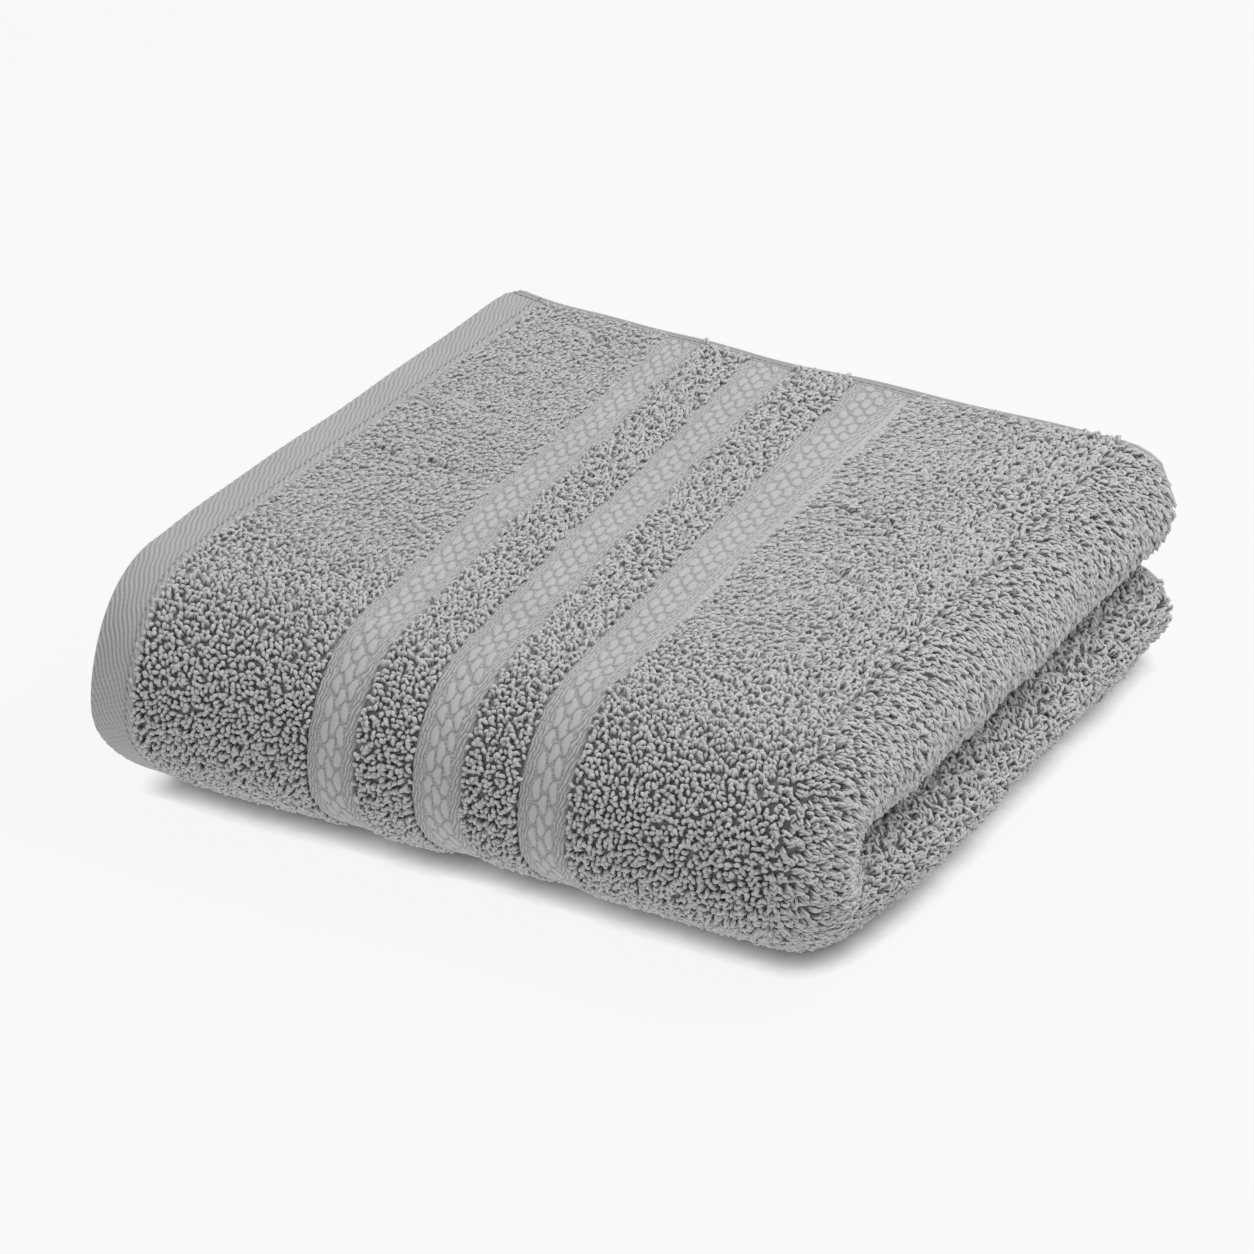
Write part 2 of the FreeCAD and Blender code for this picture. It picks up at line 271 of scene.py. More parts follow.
def new_piece(name, points, faces, material, values=None, uv=None):
    """A mesh object with its own values on its points.

    faces is a list of arrays, one per face size.
    """
    mesh = bpy.data.meshes.new(name)
    corners = np.concatenate([some.ravel() for some in faces]).astype(np.int32)
    sizes = np.concatenate([np.full(len(some), some.shape[1]) for some in faces])
    mesh.vertices.add(len(points))
    mesh.vertices.foreach_set("co", np.asarray(points, np.float32).ravel())
    mesh.loops.add(corners.size)
    mesh.loops.foreach_set("vertex_index", corners)
    mesh.polygons.add(sizes.size)
    mesh.polygons.foreach_set("loop_start", (np.cumsum(sizes) - sizes).astype(np.int32))
    mesh.update(calc_edges=True)
    mesh.validate()
    mesh.polygons.foreach_set("use_smooth", np.ones(len(mesh.polygons), bool))
    for key, value in (values or {}).items():
        attribute = mesh.attributes.new(key, "FLOAT", "POINT")
        attribute.data.foreach_set("value", np.asarray(value, np.float32).ravel())
    if uv is not None:
        layer = mesh.uv_layers.new(name="yarn")
        layer.data.foreach_set("uv", uv[corners].astype(np.float32).ravel())
    mesh.materials.append(material)
    piece = bpy.data.objects.new(name, mesh)
    bpy.context.scene.collection.objects.link(piece)
    return piece


def bend_with_spine(piece):
    """The piece's transform baked into its mesh; it is attached to no body, and nothing bends it with the
    book fold.
    """
    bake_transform(piece)
    return piece


# ---------------------------------------------------------------- loops of pile

def loop_tubes(base, normal, along, across, shape, points, sides):
    """Many yarn loops as closed tubes: their points, faces, height up the loop and number.

    Each loop leaves the cloth, opens into a teardrop and comes back. Its middle line bends over
    in an even curve from upright at the cloth by the angle lean, towards the direction lean_way.
    The teardrop's plane turns by twist on the way up.
    """
    count = len(base)
    t = np.linspace(0, 1, points)
    rise = np.sin(math.pi * t) ** 0.72
    spread = -np.cos(math.pi * t) * (0.55 + 0.75 * np.sin(math.pi * t) ** 2)
    lean = np.maximum(shape["lean"], 0.02)[:, None]
    height = shape["height"][:, None]
    bent = lean * rise
    up = height * np.sin(bent) / lean
    over = height * (1 - np.cos(bent)) / lean
    way = shape["lean_way"]
    towards = along * np.cos(way)[:, None] + across * np.sin(way)[:, None]
    sideways = np.cross(normal, towards)
    plane = shape["plane"][:, None] + shape["twist"][:, None] * rise
    half_width = shape["width"][:, None] / 2 * spread
    forward = half_width * np.cos(plane)
    sideward = half_width * np.sin(plane)
    line = (
        base[:, None]
        + normal[:, None] * (up - forward * np.sin(bent))[..., None]
        + towards[:, None] * (over + forward * np.cos(bent))[..., None]
        + sideways[:, None] * sideward[..., None]
    )
    step = np.gradient(line, axis=1)
    step /= np.linalg.norm(step, axis=2, keepdims=True)
    flat = (
        -np.sin(plane)[..., None] * (towards[:, None] * np.cos(bent)[..., None]
                                     - normal[:, None] * np.sin(bent)[..., None])
        + np.cos(plane)[..., None] * sideways[:, None]
    )
    first = flat - step * np.sum(flat * step, 2, keepdims=True)
    first /= np.linalg.norm(first, axis=2, keepdims=True)
    second = np.cross(step, first)
    angle = np.linspace(0, 2 * math.pi, sides, endpoint=False)
    radius = shape["radius"][:, None, None, None] * (0.80 + 0.32 * rise)[None, :, None, None]
    ring = first[:, :, None] * np.cos(angle)[:, None] + second[:, :, None] * np.sin(angle)[:, None]
    tube = line[:, :, None] + radius * ring

    offset = (np.arange(count) * points * sides)[:, None, None]
    faces = [(some[None] + offset).reshape(-1, some.shape[1]) for some in ring_faces(points, sides)]
    up_loop = np.broadcast_to(rise[None, :, None], (count, points, sides)).ravel()
    number = np.broadcast_to(np.arange(count)[:, None, None], (count, points, sides)).ravel()
    length = np.broadcast_to((t * 8)[None, :, None], (count, points, sides)).ravel()
    round_ = np.broadcast_to((angle / (2 * math.pi))[None, None], (count, points, sides)).ravel()
    return tube.reshape(-1, 3), faces, up_loop, number, np.stack([length, round_], -1)


def scattered(u_range, v_range, step, draw, jitter=0.34):
    """Places in a rectangle, in staggered rows a step apart, each moved a little at random."""
    columns = max(1, int(round((u_range[1] - u_range[0]) / step)))
    rows = max(1, int(round((v_range[1] - v_range[0]) / step)))
    column, row = np.meshgrid(np.arange(columns), np.arange(rows), indexing="ij")
    u = (column + 0.5 + 0.25 * (1 - 2 * (row % 2))).ravel() / columns
    v = (row + 0.5).ravel() / rows
    u = u + draw.uniform(-jitter, jitter, u.size) / columns
    v = v + draw.uniform(-jitter, jitter, v.size) / rows
    u = np.clip(u, 0.1 / columns, 1 - 0.1 / columns)
    v = np.clip(v, 0.1 / rows, 1 - 0.1 / rows)
    return u_range[0] + u * (u_range[1] - u_range[0]), v_range[0] + v * (v_range[1] - v_range[0])


def loop_shapes(count, draw, height, lean, lean_way, way_spread, width=3.0, radius=0.70,
                plane=0.0, plane_spread=1.6, twist=0.7):
    """Each loop's own sizes. height, width and radius are in millimetres, angles in radians."""
    return {
        "height": height * MM * draw.normal(1, 0.10, count).clip(0.75, 1.3),
        "lean": (lean + draw.normal(0, 0.16, count)).clip(0.03, 1.95),
        "lean_way": lean_way + draw.normal(0, 1, count) * way_spread,
        "width": width * MM * draw.normal(1, 0.14, count).clip(0.6, 1.5),
        "radius": radius * MM * draw.normal(1, 0.07, count).clip(0.8, 1.2),
        "plane": plane + draw.normal(0, 1, count) * plane_spread,
        "twist": draw.normal(0, twist, count),
    }


def pile(name, x, h, y, turn, normal_x, normal_h, shape, draw, body=None, points=6, sides=4,
         limit=4300):
    """Loops standing on the cloth at these places, as one piece or as several of a fair size."""
    x, h, y, turn, normal_x, normal_h = np.broadcast_arrays(x, h, y, turn, normal_x, normal_h)
    order = np.argsort(x, kind="stable")
    shape = {key: np.broadcast_to(value, x.shape)[order] for key, value in shape.items()}
    x, h, y, turn, normal_x, normal_h = (a[order] for a in (x, h, y, turn, normal_x, normal_h))
    tone = draw.normal(0, 1, x.size)
    made = []
    parts = max(1, math.ceil(x.size / limit))
    for number, some in enumerate(np.array_split(np.arange(x.size), parts)):
        base = place(x[some], h[some], y[some], turn[some])
        normal, along, across = directions(normal_x[some], normal_h[some], turn[some])
        own = {key: value[some] for key, value in shape.items()}
        tube, faces, up_loop, loop, uv = loop_tubes(base, normal, along, across, own, points, sides)
        label = name if parts == 1 else "%s_%d" % (name, number + 1)
        # Loops in the top's creases are painted darker: painted shade in the crease, added to each loop's
        # random tone.
        crease = crease_depth(x[some] + 1.5 * MM, y[some] + 0.7 * MM)
        tone_and_crease_shade = tone[some] - 6 * crease * (turn[some] == 0)
        values = {"tone": tone_and_crease_shade[loop], "rise": up_loop}
        piece = new_piece(label, settle(tube), faces, terry, values, uv)
        if body:
            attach(piece, body)
        else:
            bend_with_spine(piece)
        made.append(piece)
    return made


# ---------------------------------------------------------------- materials

def new_material(name):
    """An empty material with its Principled shader and its output."""
    material = bpy.data.materials.new(name)
    material.use_nodes = True
    tree = material.node_tree
    tree.nodes.clear()
    shader = tree.nodes.new("ShaderNodeBsdfPrincipled")
    output = tree.nodes.new("ShaderNodeOutputMaterial")
    tree.links.new(shader.outputs["BSDF"], output.inputs["Surface"])
    return material, tree, shader


def cotton_group():
    """Grey cotton: a colour uneven over hand widths and between yarns, with painted shade added through
    its Shade input, and its fibres' height.
    """
    group = bpy.data.node_groups.new("cotton", "ShaderNodeTree")
    socket = group.interface.new_socket
    socket(name="Colour", in_out="INPUT", socket_type="NodeSocketColor")
    socket(name="Shade", in_out="INPUT", socket_type="NodeSocketFloat")
    socket(name="Unevenness", in_out="INPUT", socket_type="NodeSocketFloat")
    socket(name="Fibre scale", in_out="INPUT", socket_type="NodeSocketFloat")
    socket(name="Colour", in_out="OUTPUT", socket_type="NodeSocketColor")
    socket(name="Fibres", in_out="OUTPUT", socket_type="NodeSocketFloat")
    nodes, link = group.nodes, group.links.new
    given = nodes.new("NodeGroupInput")
    result = nodes.new("NodeGroupOutput")
    place_ = nodes.new("ShaderNodeTexCoord")
    broad = nodes.new("ShaderNodeTexNoise")
    broad.inputs["Scale"].default_value = 22
    broad.inputs["Detail"].default_value = 3
    link(place_.outputs["Object"], broad.inputs["Vector"])
    fibres = nodes.new("ShaderNodeTexNoise")
    fibres.inputs["Detail"].default_value = 4
    fibres.inputs["Roughness"].default_value = 0.65
    link(place_.outputs["Object"], fibres.inputs["Vector"])
    link(given.outputs["Fibre scale"], fibres.inputs["Scale"])
    centred = nodes.new("ShaderNodeMath")
    centred.operation = "SUBTRACT"
    centred.inputs[1].default_value = 0.5
    link(broad.outputs["Fac"], centred.inputs[0])
    both = nodes.new("ShaderNodeMath")
    both.operation = "MULTIPLY_ADD"
    both.inputs[1].default_value = 0.4
    link(centred.outputs[0], both.inputs[0])
    link(given.outputs["Shade"], both.inputs[2])
    scaled = nodes.new("ShaderNodeMath")
    scaled.operation = "MULTIPLY_ADD"
    scaled.inputs[2].default_value = 1.0
    link(both.outputs[0], scaled.inputs[0])
    link(given.outputs["Unevenness"], scaled.inputs[1])
    tint = nodes.new("ShaderNodeVectorMath")
    tint.operation = "SCALE"
    link(given.outputs["Colour"], tint.inputs[0])
    link(scaled.outputs[0], tint.inputs["Scale"])
    link(tint.outputs[0], result.inputs["Colour"])
    link(fibres.outputs["Fac"], result.inputs["Fibres"])
    return group


cotton = cotton_group()


def cotton_material(name, colour, unevenness, fibre_scale, bump_mm, sheen, shade_from=None):
    """A matt cotton finish. shade_from names a value on the points that lightens or darkens it: random
    tone, and painted shade in creases, grooves and round the spine.
    """
    material, tree, shader = new_material(name)
    group = tree.nodes.new("ShaderNodeGroup")
    group.node_tree = cotton
    group.inputs["Colour"].default_value = (*colour, 1)
    group.inputs["Unevenness"].default_value = unevenness
    group.inputs["Fibre scale"].default_value = fibre_scale
    if shade_from:
        own = tree.nodes.new("ShaderNodeAttribute")
        own.attribute_name = shade_from
        tree.links.new(own.outputs["Fac"], group.inputs["Shade"])
    tree.links.new(group.outputs["Colour"], shader.inputs["Base Color"])
    bump = tree.nodes.new("ShaderNodeBump")
    bump.inputs["Strength"].default_value = 0.8
    bump.inputs["Distance"].default_value = bump_mm * MM
    tree.links.new(group.outputs["Fibres"], bump.inputs["Height"])
    tree.links.new(bump.outputs["Normal"], shader.inputs["Normal"])
    shader.inputs["Roughness"].default_value = 0.92
    shader.inputs["Specular IOR Level"].default_value = 0.12
    shader.inputs["Sheen Weight"].default_value = sheen
    shader.inputs["Sheen Roughness"].default_value = 0.6
    return material


# The values these materials read hold random tone and painted shade: darker creases on the terry, darker
# round the spine on the ground, and darker grooves on the bands and hems.
terry = cotton_material("terry_loops", (0.52, 0.52, 0.522), 0.045, 1500, 0.25, 0.15, "tone")
ground_cotton = cotton_material("ground_weave", (0.50, 0.50, 0.502), 0.30, 420, 2.0, 0.0, "tone")
band_cotton = cotton_material("dobby_cotton", (0.47, 0.47, 0.476), 0.42, 1100, 0.22, 0.12, "tone")
hem_cotton = cotton_material("hem_cotton", (0.43, 0.43, 0.432), 0.35, 1100, 0.22, 0.12, "tone")
thread_cotton = cotton_material("sewing_thread", (0.30, 0.30, 0.30), 0.05, 2500, 0.08, 0.05)

# ---------------------------------------------------------------- the woven ground

def make_ground():
    """The terry between the hems, which everything else is part of: a slab along the spiral."""
    x, h, normal_x, normal_h = spiral(6 * MM, 10, HEM_B[1] - HEM_B[0] - 1.5 * MM)
    y, turn = across_line(9 * MM, 18, PILE_BACK)
    normal, _, _ = directions(normal_x[:, None], normal_h[:, None], turn[None])
    middle = place(x[:, None], h[:, None], y[None], turn[None])
    depth = bed(turn)[None, :, None]
    points = np.concatenate([settle(middle + normal * depth).reshape(-1, 3),
                             settle(middle - normal * depth).reshape(-1, 3)])
    turns = np.tile(np.broadcast_to(turn, (x.size, y.size)).ravel(), 2)
    # The ground is painted darker round the spine, by sin(turn): painted shade where the dense feet of
    # the loops shade it.
    piece = new_piece("ground_cloth", points, slab_quads(x.size, y.size), ground_cotton,
                      {"tone": -np.sin(turns)})
    return bend_with_spine(piece)


# ---------------------------------------------------------------- flat-woven bands and hems

def brick_ovals(u, v, width, length, fill, columns):
    """How far each point is from the nearest of a pattern of ovals: 1 on their outlines.

    The ovals stand in columns a width apart. In a column they follow each other at the given
    length, and each column is half a length behind the last. fill is how much of their own
    place they take. They lean a little to one side.
    """
    lean = 0.05
    nearest = np.full(np.broadcast(u, v).shape, 9.0)
    for number in columns:
        along = ((v / length + 0.5 * (number % 2)) % 1 - 0.5) * length
        here = (np.abs(u - width * number - lean * along) / (width * 0.52)) ** 2.1
        nearest = np.minimum(nearest, here + (np.abs(along) / (length * fill / 2)) ** 2.1)
    return nearest


def dobby_weave(u, v):
    """A woven band's surface: its height, from 0 in its grooves to about 1, and its painted shade,
    darkest on the ovals' outlines, in the gaps between the rungs and between the strands.

    u is millimetres across the band from its middle, v millimetres along it. Three columns of
    long ovals fill the middle, with fine level rungs in the gaps between them. The left side is
    narrow cords that run along the band, and the right side longer strands that slant across
    it. Slow waves pull all of it out of line.
    """
    pulled_u = u + 0.30 * np.sin(0.83 * v + 1.3 * np.sin(0.21 * v)) + 0.12 * np.sin(2.1 * v + u)
    pulled_v = v + 0.6 * np.sin(0.37 * v + 0.9 * u) + 0.5 * np.sin(1.1 * u - 0.13 * v)
    distance = brick_ovals(pulled_u - 0.3, pulled_v, 3.9, 9.8, 0.89, (-1, 0, 1))
    rungs = 0.5 + 0.5 * np.cos((pulled_v + 0.3 * u) * 2 * math.pi / 1.4)
    ovals = 0.4 + 0.55 * np.clip(1 - distance ** 1.3, 0, 1) ** 0.6
    cells = np.where(distance < 1, ovals, 0.5 * rungs)
    # Painted shade: the ovals' outlines and the gaps between the rungs are darkened.
    outline_shade = np.exp(-(((distance - 1.02) / 0.18) ** 2)) + (distance > 1.2) * 0.6 * (1 - rungs)

    def strands(width, length, slant):
        across = (pulled_u * math.cos(slant) - pulled_v * math.sin(slant)) / width
        along = (pulled_v * math.cos(slant) + pulled_u * math.sin(slant)) / length
        column = np.round(across)
        cord = np.cos(math.pi * (across - column)) ** 2
        end = smooth(0.78, 1.0, 2 * np.abs((along + 0.41 * column) % 1 - 0.5))
        # The second value is painted shade between the strands and at their ends.
        return 0.9 * cord ** 0.6 * (1 - 0.6 * end), 0.65 * (1 - cord) ** 1.8 + 0.5 * end * cord

    left, left_shade = strands(1.45, 7.0, -0.10)
    right, right_shade = strands(1.6, 9.0, -0.28)
    side = np.where(u < 0, left, right)
    side_shade = np.where(u < 0, left_shade, right_shade)
    inside = (pulled_u > -6.2) & (pulled_u < 6.6)
    yarns = 0.03 * np.sin((v + 0.25 * u) * 2 * math.pi / 1.35)
    height = (np.where(inside, cells, side) + yarns) * smooth(11.75, 11.0, np.abs(u))
    return height, -np.where(inside, outline_shade + 0.12, 1.9 * side_shade - 0.1)


def twill_weave(u, v):
    """The hem's surface, like dobby_weave: ribs that run along it at a slant, crossed faintly, with
    painted shade in the grooves between the ribs and along the crossing strands.
    """
    pulled = u + 0.35 * np.sin(0.31 * v + 0.4 * u) + 0.3 * np.sin(0.113 * v + 1)
    rib = 0.5 + 0.5 * np.sin((0.91 * pulled - 0.41 * v) * 2 * math.pi / 2.05)
    strand = 0.17 * np.sin((0.41 * pulled + 0.91 * v) * 2 * math.pi / 2.2 + 3 * rib)
    fade = smooth(11.0, 9.4, np.abs(u))
    # Painted shade: darker in the grooves between the ribs and along the crossing strands.
    groove_shade = 0.6 * strand - 0.9 * (1 - rib) ** 2.5
    return (rib ** 0.7 + strand) * fade + 0.6 * (1 - fade), groove_shade * fade


def across_length(y, turn, radius):
    """Millimetres along the cloth's outside from the upper back edge to each place across."""
    flat = np.where(turn < math.pi / 2, BACK - y, (BACK - CREASE_Y) + (y - CREASE_Y))
    return (flat + radius * turn) / MM


def make_strip(name, low, high, leaf, rise, thickness, pattern, relief, material, fine):
    """A flat-woven strip across the cloth, closed, whose outer face carries the weave's relief.

    rise is how far its middle stands off the middle of its leaf, in millimetres. On the
    underside, where it lies on the floor, it has no relief.
    """
    middle = leaf_height(leaf) + rise * MM
    columns = max(4, int(round((high - low) / (fine * MM)))) + 1
    x = np.linspace(high, low, columns)
    step = fine * 1.15 * MM
    y, turn = across_line(step, int(math.pi * middle / step), PILE_BACK - 0.8 * MM)
    shown = (turn < math.pi * 0.93) & (relief > 0)
    keep = shown | (np.arange(y.size) % 8 == 0) | (np.arange(y.size) == y.size - 1)
    y, turn, shown = y[keep][:, None], turn[keep][:, None], shown[keep][:, None]
    u = (x - (low + high) / 2)[None] / MM
    v = across_length(y, turn, middle)
    height, groove_shade = pattern(u, v)
    weave = np.where(shown, height, 0.5)
    ends = 0.45 + 0.55 * smooth(0, 0.9, (high - low) / 2 / MM - np.abs(u))
    top = middle + thickness / 2 * MM * ends + relief * MM * (weave - 0.5)
    outer = place(x[None], top, y, turn)
    inner = place(x[None, [-1, 0]], middle - thickness / 2 * MM, y, turn)
    points = settle(np.concatenate([outer, inner], 1))
    rows, sides = points.shape[:2]
    # The weave's painted shade goes on the shown part of the outer face only.
    tone = np.concatenate([np.where(shown, groove_shade, 0), np.zeros((rows, 2))], 1)
    piece = new_piece(name, points.reshape(-1, 3), ring_faces(rows, sides), material,
                      {"tone": tone})
    return bend_with_spine(piece)


# ---------------------------------------------------------------- where the loops stand

def outer_face_loops():
    """The outer leaf's loops between the hem and the round fold: top, spine and underside."""
    draw = np.random.default_rng(101)
    zones = [(HEM_B[1] - 2.4 * MM, BANDS_B[0][0]), (BANDS_B[0][1], BANDS_B[1][0]),
             (BANDS_B[1][1], BANDS_B[2][0]), (BANDS_B[2][1], FOLD_X)]
    top, spine, under = [], [], []
    length = math.pi * (leaf_height(4) + 4 * MM)
    for low, high in zones:
        inset = 0.4 * MM
        zone = (low + inset, high - inset)
        top.append(scattered(zone, (CREASE_Y, PILE_BACK + 1.5 * MM), 2.55 * MM, draw))
        spine.append(scattered(zone, (0, length), 2.4 * MM, draw))
        under.append(scattered((low + inset, high - inset), (CREASE_Y, PILE_BACK), 5.6 * MM, draw))
    base = leaf_height(4) - 0.5 * MM

    x, y = (np.concatenate(part) for part in zip(*top))
    near_spine = smooth(60 * MM, 0, y - CREASE_Y)
    near_fold = smooth(80 * MM, 0, FOLD_X - x)
    between = (x > BANDS_B[0][0]) & (x < BANDS_B[2][1])
    combed = np.clip(1 - 0.8 * between - near_spine - near_fold, 0, 1)
    shape = loop_shapes(x.size, draw, 4.2 + 1.1 * combed + 0.6 * near_fold - 0.8 * near_spine,
                        1.5 + 0.28 * combed - 0.5 * near_spine,
                        -0.46 + (0.8 - 0.6 * combed) * swell(x, y, 12), 1.0 - 0.7 * combed,
                        3.2 - 1.5 * combed, 0.80 - 0.16 * combed, math.pi / 2, 0.6, 0.6)
    pile("pile_top", x, base + bed(0) - (0.3 + 1.2 * combed) * MM, y, 0.0, 0.0, 1.0, shape, draw,
         UPPER)

    x, arc = (np.concatenate(part) for part in zip(*spine))
    turn = arc / length * math.pi
    upright = smooth(0.0, 0.9, turn) * smooth(math.pi, math.pi - 0.8, turn)
    near_fold = smooth(60 * MM, 0, FOLD_X - x)
    shape = loop_shapes(x.size, draw, 3.4 + 1.3 * np.sin(turn) + 0.5 * near_fold,
                        1.0 - 0.55 * upright + 0.35 * near_fold * upright, -0.85, 1.0, 2.3, 0.80)
    pile("pile_spine", x, base + bed(turn) - 0.4 * MM, CREASE_Y, turn, 0.0, 1.0, shape, draw)

    x, y = (np.concatenate(part) for part in zip(*under))
    shape = loop_shapes(x.size, draw, 3.6, 1.5, 0.0, 3.0, 3.4, 0.9, math.pi / 2, 0.4)
    pile("pile_underside", x, base + bed(0) - 1.0 * MM, y, math.pi, 0.0, 1.0, shape, draw,
         LOWER, 5, 3, 8000)


def round_fold_loops():
    """Loops round the outer fold: the upper roll, the lower roll and the corner that joins them."""
    draw = np.random.default_rng(202)
    radius = 1.5 * PITCH
    length = math.pi * (radius + 4 * MM)
    for name, body, turn in (("upper", UPPER, 0.0), ("lower", LOWER, math.pi)):
        arc, y = scattered((0, length), (CREASE_Y, PILE_BACK), 2.5 * MM, draw)
        angle = math.pi / 2 - arc / length * math.pi
        tucked = smooth(-0.35, -1.1, angle)
        open_ = 0.0 if body == UPPER else 1.0
        foot = radius + bed(0) - (1.5 - 0.5 * open_) * MM
        shape = loop_shapes(angle.size, draw, 6.2 - 0.5 * open_ - 1.2 * tucked,
                            1.65 - 0.6 * open_ + 0.25 * tucked, 0.05, 0.4 + 1.1 * open_,
                            2.7 + 1.5 * open_, 0.66 + 0.04 * open_, math.pi / 2,
                            0.4 + 0.2 * open_, 0.5)
        pile("pile_roll_" + name, FOLD_X + foot * np.cos(angle), 2 * PITCH + foot * np.sin(angle),
             y, turn, np.cos(angle), np.sin(angle), shape, draw, body)
    angles, turns = [], []
    rows = int(length / (2.35 * MM))
    for number in range(rows):
        angle = 1.65 - (number + 0.5) / rows * math.pi
        reach = 2 * PITCH + (radius + 3 * MM) * math.sin(angle)
        count = max(3, int(math.pi * reach / (2.4 * MM)))
        turns.append((np.arange(count) + draw.uniform(0.2, 0.8, count)) / count * math.pi)
        angles.append(np.full(count, angle) + draw.normal(0, 0.035, count))
    angle, turn = np.concatenate(angles), np.concatenate(turns)
    foot = radius + bed(turn) - 1.2 * MM
    shape = loop_shapes(angle.size, draw, 5.6 + 1.2 * np.sin(turn), 1.5, 0.1, 0.5, 2.4, 0.70,
                        math.pi / 2, 0.8, 0.6)
    pile("pile_corner", FOLD_X + foot * np.cos(angle), 2 * PITCH + foot * np.sin(angle),
         CREASE_Y, turn, np.cos(angle), np.sin(angle), shape, draw)


def middle_fold_loops():
    """Loops round the cloth's middle fold, which shows on the left below the hems."""
    draw = np.random.default_rng(303)
    radius = 0.5 * PITCH
    length = math.pi * (radius + 4 * MM)
    foot = radius + CLOTH / 2 - 0.5 * MM
    for name, body, turn in (("upper", UPPER, 0.0), ("lower", LOWER, math.pi)):
        arc, y = scattered((0, length), (CREASE_Y, PILE_BACK), 3.2 * MM, draw)
        angle = math.pi / 2 + arc / length * math.pi
        shape = loop_shapes(angle.size, draw, 4.6, 1.2, 0.3, 2.0, 3.4, 0.9)
        pile("pile_middle_fold_" + name, LOOP_X + foot * np.cos(angle),
             PITCH + foot * np.sin(angle), y, turn, np.cos(angle), np.sin(angle), shape, draw, body, 5, 4)
    arc, round_ = scattered((0, length), (0, math.pi * PITCH), 3.2 * MM, draw)
    angle = math.pi / 2 + arc / length * math.pi
    shape = loop_shapes(angle.size, draw, 4.0, 1.2, 0.3, 2.0, 3.0, 0.9)
    pile("pile_middle_fold_spine", LOOP_X + foot * np.cos(angle), PITCH + foot * np.sin(angle),
         CREASE_Y, round_ / PITCH, np.cos(angle), np.sin(angle), shape, draw, None, 5, 4)


def crease_face_loops():
    """The two faces that meet inside the book fold, seen when it opens."""
    draw = np.random.default_rng(404)
    for name, body, turn in (("upper", UPPER, 0.0), ("lower", LOWER, math.pi)):
        x, y = scattered((LOOP_X, FOLD_X), (CREASE_Y, PILE_BACK), 5.0 * MM, draw)
        shape = loop_shapes(x.size, draw, 5.6, 1.5, 0.0, 3.0, 5.6, 1.1)
        pile("pile_crease_" + name, x, leaf_height(1) - CLOTH / 2 + 0.4 * MM, y, turn, 0.0, -1.0,
             shape, draw, body, 5, 3, 6000)


def edge_loops():
    """A few rows of loops just inside the back edge and the left edge, between the leaves."""
    draw = np.random.default_rng(505)
    faces = [(4, -1), (3, 1), (3, -1), (2, 1), (2, -1), (1, 1)]
    for name, body, turn in (("upper", UPPER, 0.0), ("lower", LOWER, math.pi)):
        places = []
        for leaf, side in faces:
            start = LOOP_X if leaf < 3 else HEM_A[1] if leaf == 3 else HEM_B[1]
            x, y = scattered((start, FOLD_X), (PILE_BACK - 10 * MM, PILE_BACK), 4.6 * MM, draw)
            height = leaf_height(leaf) + side * (CLOTH / 2 - 0.4 * MM)
            places.append((x, y, np.full(x.size, height), np.full(x.size, float(side))))
            if leaf >= 3:
                x, y = scattered((start, start + 14 * MM), (CREASE_Y, PILE_BACK), 4.8 * MM, draw)
                places.append((x, y, np.full(x.size, height), np.full(x.size, float(side))))
        x, y, h, side = (np.concatenate(part) for part in zip(*places))
        shape = loop_shapes(x.size, draw, 3.8, 1.1, 0.0, 3.0, 3.2, 0.95)
        pile("pile_edges_" + name, x, h, y, turn, 0.0, side, shape, draw, body, 5, 3, 6000)


ground = make_ground()
outer_face_loops()
round_fold_loops()
middle_fold_loops()
crease_face_loops()
edge_loops()

strips = []
for number, (low, high) in enumerate(BANDS_B, start=1):
    strips.append(make_strip("band_b%d" % number, low, high, 4, 1.2, 5.2, dobby_weave, 1.0,
                             band_cotton, 0.47))
for number, (low, high) in enumerate(BANDS_A, start=1):
    strips.append(make_strip("band_a%d" % number, low, high, 3, 0.0, 6.0, dobby_weave, 0.0,
                             band_cotton, 4.0))
hem_b = make_strip("hem_b", HEM_B[0], HEM_B[1], 4, 2.8, 4.2, twill_weave, 0.7,
                   hem_cotton, 0.48)
hem_a = make_strip("hem_a", HEM_A[0], HEM_A[1], 3, 0.0, 3.6, twill_weave, 0.4,
                   hem_cotton, 1.3)
strips += [hem_b, hem_a]


def make_side_hem(half, body, turn):
    """The narrow hem along one long side: a ribbed slab that follows the whole spiral."""
    x, h, normal_x, normal_h = spiral(5 * MM, 12)
    y = np.linspace(PILE_BACK - 1.6 * MM, BACK, 15)
    normal, _, _ = directions(normal_x[:, None], normal_h[:, None], np.full((1, y.size), turn))
    middle = place(x[:, None], h[:, None], y[None], turn)
    round_edge = np.sqrt(1 - np.linspace(-1, 1, y.size) ** 4 * 0.8)[None, :, None]
    rib = np.cos((BACK - y) * 2 * math.pi / (2.3 * MM))
    rise = np.where(h > 3 * PITCH, 1.9 * MM, 0)[:, None, None]
    ribbed = (2.0 + 0.3 * rib[None, :, None]) * MM * round_edge
    points = np.concatenate([settle(middle + normal * (rise + ribbed)).reshape(-1, 3),
                             settle(middle + normal * (rise - ribbed)).reshape(-1, 3)])
    faces = slab_quads(x.size, y.size)
    if body == UPPER:
        faces = [some[:, ::-1] for some in faces]
    # Painted shade in the grooves between the hem's ribs.
    tone = np.tile(0.6 * (rib - 1), 2 * x.size)
    piece = new_piece("narrow_hem_" + half, points, faces, hem_cotton, {"tone": tone})
    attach(piece, body)
    return piece


side_hems = [make_side_hem("upper", UPPER, 0.0), make_side_hem("lower", LOWER, math.pi)]


